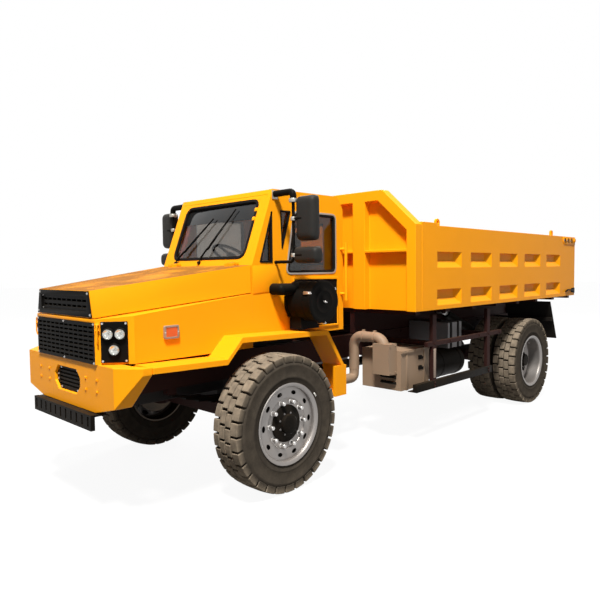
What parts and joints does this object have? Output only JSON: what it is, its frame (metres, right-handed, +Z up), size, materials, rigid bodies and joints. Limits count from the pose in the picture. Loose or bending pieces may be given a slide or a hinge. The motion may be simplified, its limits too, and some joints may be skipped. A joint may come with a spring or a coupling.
{
  "type": "mining dump truck",
  "caption": "Low two-axle mining dump truck with a long sloping nose, a narrow cab, ribbed tipping bed, twin rear wheels and steered front wheels.",
  "frame": {"origin": "on the ground, below the middle of the overall length and width", "axes": "+X forward, +Y to the truck's left, +Z up"},
  "size_m": [6.783, 2.346, 2.436],
  "materials": {
    "paint": "semi-gloss orange-yellow paint",
    "frame_paint": "matt dark red-brown paint",
    "black_metal": "satin black",
    "steel": "grey steel",
    "tyre": "dusty rubber",
    "rubber": "matt black rubber",
    "taupe": "matt taupe paint",
    "glass": "tinted glass",
    "lens": "clear lens",
    "amber": "amber lens",
    "red": "red lens",
    "plastic": "grained black plastic",
    "seat_cloth": "dark cloth"
  },
  "bodies": {
    "chassis": {"frame": "frame_paint", "front_axle": "frame_paint", "rear_axle": "frame_paint", "leaf_springs": "black_metal", "engine": "steel", "drive_shaft": "black_metal", "front_bumper": "paint", "bumper_guard": "black_metal", "nose_grille": "black_metal", "nose_left": "paint", "nose_right": "paint", "lamp_panels": "black_metal", "head_lamps": "lens", "side_markers": "amber", "cab_floor": "black_metal", "cab_front": "paint", "cab_left": "paint", "cab_right": "paint", "cab_back": "paint", "cab_roof": "paint", "cab_glass": "glass", "dashboard": "plastic", "seat": "seat_cloth", "wipers": "black_metal", "mirrors": "black_metal", "air_cleaner": "black_metal", "exhaust_box": "taupe", "side_guards": "frame_paint", "tanks": "steel", "air_tank": "black_metal", "mud_flaps": "rubber", "tail_lamps": "red"},
    "hood": {"hood": "paint", "hood_grille": "black_metal"},
    "door": {"door": "paint", "door_glass": "glass"},
    "bed": {"bed_floor": "frame_paint", "headboard": "paint", "bed_left": "paint", "bed_right": "paint"},
    "tailgate": {"tailgate": "paint"},
    "hoist_barrel": {"hoist_barrels": "black_metal"},
    "hoist_rod": {"hoist_rods": "steel"},
    "steer_left": {"knuckle_left": "frame_paint"},
    "steer_right": {"knuckle_right": "frame_paint"},
    "tie_rod": {"tie_rod": "black_metal"},
    "steering": {"steering_wheel": "plastic"},
    "wheel_fl": {"tyre_front_left": "tyre", "wheel_front_left": "steel"},
    "wheel_fr": {"tyre_front_right": "tyre", "wheel_front_right": "steel"},
    "wheels_rl": {"tyres_rear_left": "tyre", "wheels_rear_left": "steel"},
    "wheels_rr": {"tyres_rear_right": "tyre", "wheels_rear_right": "steel"}
  },
  "joints": [
    {"name": "steer_left", "type": "hinge", "parent": "chassis", "child": "steer_left", "pos_m": [2.0965, 0.73, 0.525], "axis": [0, 0, 1], "range_deg": [-35, 35]},
    {"name": "steer_right", "type": "hinge", "parent": "chassis", "child": "steer_right", "pos_m": [2.0965, -0.73, 0.525], "axis": [0, 0, 1], "range_deg": [-35.5, 35.5]},
    {"name": "tie_rod_pivot", "type": "hinge", "parent": "steer_left", "child": "tie_rod", "pos_m": [1.8365, 0.73, 0.48], "axis": [0, 0, 1], "range_deg": [-35.5, 35.5]},
    {"name": "steering_turn", "type": "hinge", "parent": "chassis", "child": "steering", "pos_m": [1.7965, 0, 1.815], "axis": [-0.5299, 0, 0.848], "range_deg": [-352, 352]},
    {"name": "spin_front_left", "type": "hinge", "parent": "steer_left", "child": "wheel_fl", "pos_m": [2.0965, 0.899, 0.525], "axis": [0, 1, 0], "continuous": true},
    {"name": "spin_front_right", "type": "hinge", "parent": "steer_right", "child": "wheel_fr", "pos_m": [2.0965, -0.899, 0.525], "axis": [0, 1, 0], "continuous": true},
    {"name": "spin_rear_left", "type": "hinge", "parent": "chassis", "child": "wheels_rl", "pos_m": [-2.0035, 0.86, 0.525], "axis": [0, 1, 0], "continuous": true},
    {"name": "spin_rear_right", "type": "hinge", "parent": "chassis", "child": "wheels_rr", "pos_m": [-2.0035, -0.86, 0.525], "axis": [0, 1, 0], "continuous": true},
    {"name": "hood_lift", "type": "hinge", "parent": "chassis", "child": "hood", "pos_m": [2.1245, 0, 1.742], "axis": [0, -1, 0], "range_deg": [0, 50]},
    {"name": "door_swing", "type": "hinge", "parent": "chassis", "child": "door", "pos_m": [1.8285, -0.652, 1.76186], "axis": [0, 0, 1], "range_deg": [0, 65]},
    {"name": "bed_tilt", "type": "hinge", "parent": "chassis", "child": "bed", "pos_m": [-3.0035, 0, 1.09], "axis": [0, -1, 0], "range_deg": [0, 50]},
    {"name": "tailgate_swing", "type": "hinge", "parent": "bed", "child": "tailgate", "pos_m": [-3.3275, 0, 2.046], "axis": [0, 1, 0], "range_deg": [0, 60]},
    {"name": "hoist_swing", "type": "hinge", "parent": "chassis", "child": "hoist_barrel", "pos_m": [-2.1035, 0, 0.74], "axis": [0, -1, 0], "range_deg": [0, 59.23]},
    {"name": "hoist_slide", "type": "slide", "parent": "hoist_barrel", "child": "hoist_rod", "axis": [0.9255, 0, 0.3786], "range_m": [0, 0.7873]}
  ],
  "couplings": [
    {"joint": "steer_right", "follows": "steer_left", "ratio": 1},
    {"joint": "tie_rod_pivot", "follows": "steer_left", "ratio": -1},
    {"joint": "steering_turn", "follows": "steer_left", "ratio": 10},
    {"joint": "hoist_swing", "follows": "bed_tilt", "ratio": 1.1746},
    {"joint": "hoist_slide", "follows": "bed_tilt", "m_per_rad": 0.89639}
  ]
}
